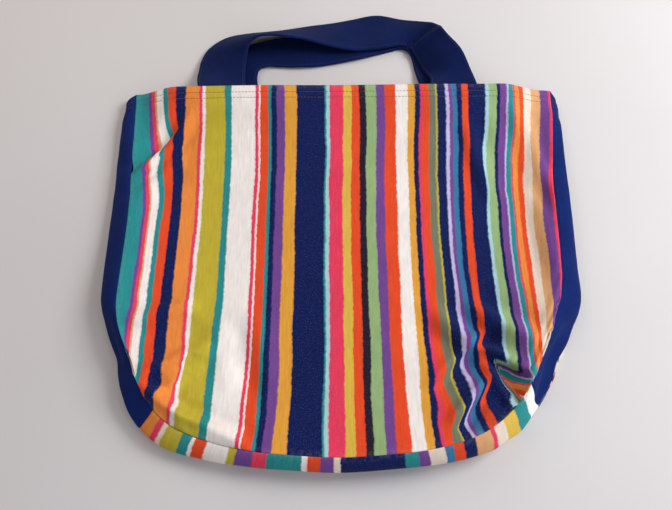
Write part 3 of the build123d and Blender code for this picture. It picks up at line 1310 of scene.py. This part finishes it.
front_panel = make_panel(
    "front_panel", front, front_seams, front_print_cut, *panel_looks, halves("front_panel")
)
back_panel = make_panel("back_panel", back, back_seams, panel_cut, *panel_looks, halves("back_panel"))
left_surface, fw, bw = gusset_surface(0.0, NAVY_END, SIDE_CELLS, -1)
seams = [None, "seam", fw, bw]
left_gusset = make_gusset("left_gusset", left_surface, seams, *navy_looks, halves("left_gusset"), True)
right_surface, fw, bw = gusset_surface(SEAM_LENGTH - NAVY_END, SEAM_LENGTH, SIDE_CELLS, 1)
seams = ["seam", None, fw, bw]
right_gusset = make_gusset("right_gusset", right_surface, seams, *navy_looks, halves("right_gusset"), True)
base_surface, fw, bw = gusset_surface(NAVY_END, SEAM_LENGTH - NAVY_END, BASE_CELLS, 0)
seams = ["seam", "seam", fw, bw]
base_gusset = make_gusset(
    "base_gusset_cloth", base_surface, seams, striped_base, reverse, ("base_gusset",), False
)


# ---- the hem turned in round the mouth ----
def gusset_hem_surface(surface, hem_first):
    """The gusset's surface with its first axis across it and its second running down from the mouth."""
    pos, cut = surface.pos, surface.cut
    if not hem_first:
        pos, cut = pos[::-1], cut[::-1]
    made = Surface(pos.transpose(1, 0, 2), cut.transpose(1, 0, 2), 1.0)
    known = surface.normal if hem_first else surface.normal[::-1]
    if (made.normal * known.transpose(1, 0, 2)).sum() < 0:
        made = Surface(made.pos, made.cut, -1.0)
    return made


left_hem = gusset_hem_surface(left_surface, True)
right_hem = gusset_hem_surface(right_surface, False)
turned_hem("front_hem", front, striped, HEM_DEPTH, "front_hem_facing")
turned_hem("back_hem", back, striped, HEM_DEPTH, "back_hem_facing")
turned_hem("left_hem", left_hem, navy, HEM_DEPTH, "left_hem_facing")
turned_hem("right_hem", right_hem, navy, HEM_DEPTH, "right_hem_facing")

stitch_lines = []
for surface, first, last in (
    (front, -HALF_WIDTH + 0.002, HALF_WIDTH - 0.002),
    (back, -HALF_WIDTH + 0.002, HALF_WIDTH - 0.002),
    (left_hem, 0.002, GUSSET_DEPTH - 0.002),
    (right_hem, 0.002, GUSSET_DEPTH - 0.002),
):
    for depth in STITCH_ROWS:
        x = np.linspace(first, last, max(8, int((last - first) / 0.002)))
        stitch_lines.append(surface.place(np.stack([x, np.full(len(x), PANEL_HEIGHT - depth)], -1)))
hem_stitching = threads_object("hem_stitching", stitch_lines, 0.0026, 0.0008, 0.00022, hem_thread)
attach(hem_stitching, "upper_half")


# ---- the cloth edges inside the seams ----
ALLOWANCE = 0.009


def lowest_near(surface, points, reach=0.004):
    """The lowest height of the surface within reach of each point, seen from above."""
    cloth = surface.pos.reshape(-1, 3)
    lowest = []
    for p in points:
        near = np.hypot(cloth[:, 0] - p[0], cloth[:, 1] - p[1]) < reach
        lowest.append(cloth[near, 2].min() if near.any() else p[2])
    return np.array(lowest)


def seam_allowance(name, surface, nodes):
    s = np.linspace(HEM_DEPTH + 0.002, SEAM_LENGTH - HEM_DEPTH - 0.002, 240)
    edge = np.array([seam_point(v) for v in s])
    way = np.gradient(edge, axis=0)
    inward = unit(np.stack([-way[:, 1], way[:, 0]], -1))
    depths = np.linspace(0.0012, ALLOWANCE, 4)
    cuts = edge[:, None] + inward[:, None] * depths[None, :, None]
    points, normals = surface.place(cuts)
    points = points - normals * (CLOTH + 0.0008)
    if surface is front:
        points[:, 2] = np.minimum(points[:, 2], lowest_near(surface, points) - CLOTH - 0.0008)
    points = points.reshape(cuts.shape[:2] + (3,))
    obj = grid_object(name, points, cuts)
    obj.data.materials.append(reverse)
    float_attribute(obj, "edge", np.broadcast_to((ALLOWANCE - depths)[None], cuts.shape[:2]))
    thicken(obj, 0.0010, 1.0 if surface is back else -1.0)
    bend_with_bag(obj)
    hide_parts(*nodes)
    return obj


front_allowance = seam_allowance("front_allowance", front, halves("front_seam_allowance"))
back_allowance = seam_allowance("back_allowance", back, halves("back_seam_allowance"))


# ---- the straps ----
HEM_LAYERS = 2 * CLOTH + FOLD_GAP + 0.0003 + STRAP_THICKNESS / 2


def height_over(surface, low_x, high_x, y, way):
    """The sheet's height where a strap lies against it: its lowest over the strap's width where the
    strap is below it, or its highest where the strap is above it."""
    flat = surface.pos.reshape(-1, 3)
    inside = (flat[:, 0] > low_x) & (flat[:, 0] < high_x) & (abs(flat[:, 1] - y) < 0.006)
    heights = flat[inside, 2]
    return heights.min() if way < 0 else heights.max()


def strap_roots(surface, side, way):
    """The stations inside the mouth at the left and the right, from the hem's own settled height. way is
    1 where the strap lies above the cloth and -1 where it lies below."""
    roots = []
    for sign in (-1, 1):
        ends = []
        for depth in (STRAP_INSIDE, 0.018, 0.003):
            pair = []
            for x in (side + STRAP_WIDTH / 2, side - STRAP_WIDTH / 2):
                near, far = sorted((sign * (x - 0.012), sign * (x + 0.012)))
                z = height_over(surface, near, far, HEM_Y - depth, way) + way * HEM_LAYERS
                pair.append((sign * x, HEM_Y - depth, z))
            ends.append(pair)
        roots.append(ends)
    return roots[0], roots[1][::-1]


# The crease across the front strap at its right corner: where it starts at the inner edge and ends at the
# outer one, as places along and across the strap, then how high and how wide it is.
STRAP_CREASES = (((0.310, 0.025), (0.328, -0.025), -0.0024, 0.0050),)


def slow_ripple(u, v):
    return 0.0008 * np.sin(u * 95 + v * 40) * np.sin(v * 60 + 1)


def front_ripple(u, v):
    """The front strap's unevenness, with the crease that its turn at the right corner leaves."""
    z = slow_ripple(u, v)
    for start, end, height, width in STRAP_CREASES:
        _, left, _ = beside_line(u, v, start, end)
        z = z + crease(-left / width) * height
    return z


STRAP_ALONG = 220  # points
STRAP_ACROSS = 21


def turn_with_handle(obj):
    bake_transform(obj)


def make_strap(name, stations, roots, ripple, handle):
    pos, cut, length = strap_grid(stations, roots, STRAP_ALONG, STRAP_ACROSS, ripple)
    obj = grid_object(name, pos, cut)
    obj.data.materials.append(strap_cloth)
    float_attribute(obj, "edge", STRAP_WIDTH / 2 - np.abs(cut[..., 1]))
    thicken(obj, STRAP_THICKNESS, 0.0)
    turn_with_handle(obj)
    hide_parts(handle, handle + "_ends")
    normal = grid_normals(pos)
    lines = []
    for k in (1, STRAP_ACROSS - 2):
        for side in (1, -1):
            lines.append((pos[:, k] + side * normal[:, k] * STRAP_THICKNESS / 2, side * normal[:, k]))
    stitches = threads_object(name + "_stitching", lines, 0.0028, 0.0009, 0.00022, navy_thread)
    turn_with_handle(stitches)
    return obj


FRONT_ENDS_X = 0.1185  # from the bag's middle to the middle of each sewn end
BACK_ENDS_X = 0.110
front_roots = strap_roots(front, FRONT_ENDS_X, -1)
back_roots = strap_roots(back, BACK_ENDS_X, 1)
front_strap = make_strap("front_strap", FRONT_STRAP, front_roots, front_ripple, "front_handle")
back_strap = make_strap("back_strap", BACK_STRAP, back_roots, slow_ripple, "back_handle")

cut_edge = np.array([seam_point(s) for s in np.linspace(0, SEAM_LENGTH, 400)])
x, y = cut_edge[:, 0], cut_edge[:, 1]
